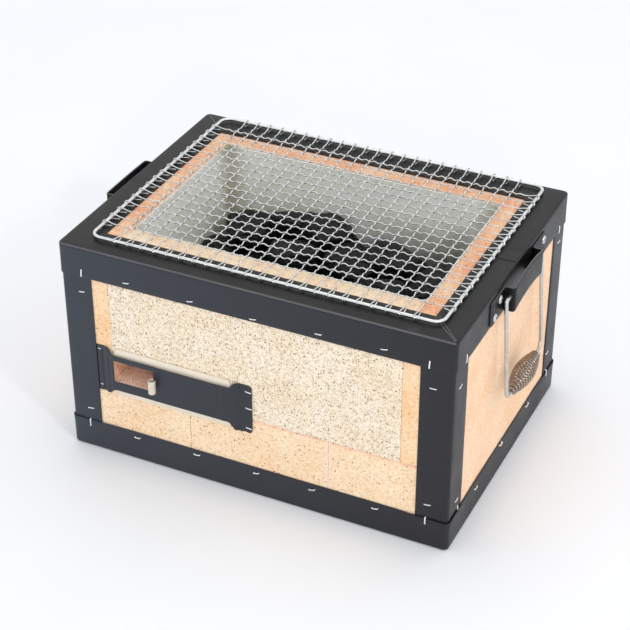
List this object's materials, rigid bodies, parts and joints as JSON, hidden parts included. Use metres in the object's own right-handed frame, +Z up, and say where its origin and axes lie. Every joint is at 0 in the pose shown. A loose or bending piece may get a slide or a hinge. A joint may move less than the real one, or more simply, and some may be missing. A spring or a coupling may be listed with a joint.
{
  "type": "tabletop charcoal grill",
  "caption": "Rectangular clay firebox bound in black sheet steel, with a sliding front air door, wire bails with coiled grips, a loose wire net and charcoal on a slotted grate.",
  "frame": {"origin": "centre of the box's footprint, on the surface that the grill stands on", "axes": "+Z up, +X to the right along the long side, air door on the -Y side"},
  "size_m": [0.3472, 0.2371, 0.1833],
  "materials": {
    "black_steel": "matt pre-coated sheet",
    "bracket_steel": "satin black sheet",
    "pale_steel": "bare reverse side of pre-coated sheet",
    "front_clay": "sawn, unglazed, speckled cream",
    "side_clay": "sawn, unglazed, peach",
    "lining_clay": "grey-green wash, matt",
    "cast_iron": "rough",
    "charcoal": "broken lump charcoal",
    "bright_wire": "bright plated wire"
  },
  "bodies": {
    "root": {"air_door_plate": "pale_steel", "air_door_strip": "black_steel", "back_brick_left": "front_clay", "back_brick_middle": "front_clay", "back_brick_right": "front_clay", "back_wall": "front_clay", "bottom_band": "black_steel", "bracket_left": "bracket_steel", "bracket_right": "bracket_steel", "charcoal_1": "charcoal", "charcoal_10": "charcoal", "charcoal_11": "charcoal", "charcoal_2": "charcoal", "charcoal_3": "charcoal", "charcoal_4": "charcoal", "charcoal_5": "charcoal", "charcoal_6": "charcoal", "charcoal_7": "charcoal", "charcoal_8": "charcoal", "charcoal_9": "charcoal", "corner_angle_back_left": "black_steel", "corner_angle_back_right": "black_steel", "corner_angle_front_left": "black_steel", "corner_angle_front_right": "black_steel", "end_wall_left": "side_clay", "end_wall_right": "side_clay", "front_brick_left": "front_clay", "front_brick_middle": "front_clay", "front_brick_right": "front_clay", "front_wall": "front_clay", "grate": "cast_iron", "grate_ledge_left": "side_clay", "grate_ledge_right": "side_clay", "hearth_slab": "side_clay", "lining_back": "lining_clay", "lining_front": "lining_clay", "lining_left": "lining_clay", "lining_right": "lining_clay", "rivet_left_1": "bright_wire", "rivet_left_2": "bright_wire", "rivet_left_3": "bright_wire", "rivet_left_4": "bright_wire", "rivet_right_1": "bright_wire", "rivet_right_2": "bright_wire", "rivet_right_3": "bright_wire", "rivet_right_4": "bright_wire", "strip_staple_1": "bright_wire", "strip_staple_2": "bright_wire", "strip_staple_3": "bright_wire", "strip_staple_4": "bright_wire", "strip_staple_5": "bright_wire", "top_band": "black_steel"},
    "air_slider": {"air_door_slider": "pale_steel"},
    "bail_right": {"bail_right": "bright_wire"},
    "bail_left": {"bail_left": "bright_wire"},
    "grip_right": {"grip_right": "bright_wire"},
    "grip_left": {"grip_left": "bright_wire"},
    "net": {"net_warp": "bright_wire", "net_weft": "bright_wire"}
  },
  "joints": [
    {"name": "air_slide", "type": "slide", "parent": "root", "child": "air_slider", "axis": [-1, 0, 0], "range_m": [0, 0.03]},
    {"name": "net_lift", "type": "slide", "parent": "root", "child": "net", "axis": [0, 0, 1], "range_m": [0, 0.15]},
    {"name": "bail_right_swing", "type": "hinge", "parent": "root", "child": "bail_right", "pos_m": [0.1602, 0.00555, 0.1675], "axis": [0, -1, 0], "range_deg": [0, 180]},
    {"name": "bail_left_swing", "type": "hinge", "parent": "root", "child": "bail_left", "pos_m": [-0.1602, 0.00155, 0.1675], "axis": [0, 1, 0], "range_deg": [0, 180]},
    {"name": "grip_right_spin", "type": "hinge", "parent": "bail_right", "child": "grip_right", "pos_m": [0.1653, 0.00555, 0.086], "axis": [0, 1, 0], "continuous": true},
    {"name": "grip_left_spin", "type": "hinge", "parent": "bail_left", "child": "grip_left", "pos_m": [-0.1653, 0.00155, 0.086], "axis": [0, 1, 0], "continuous": true}
  ]
}
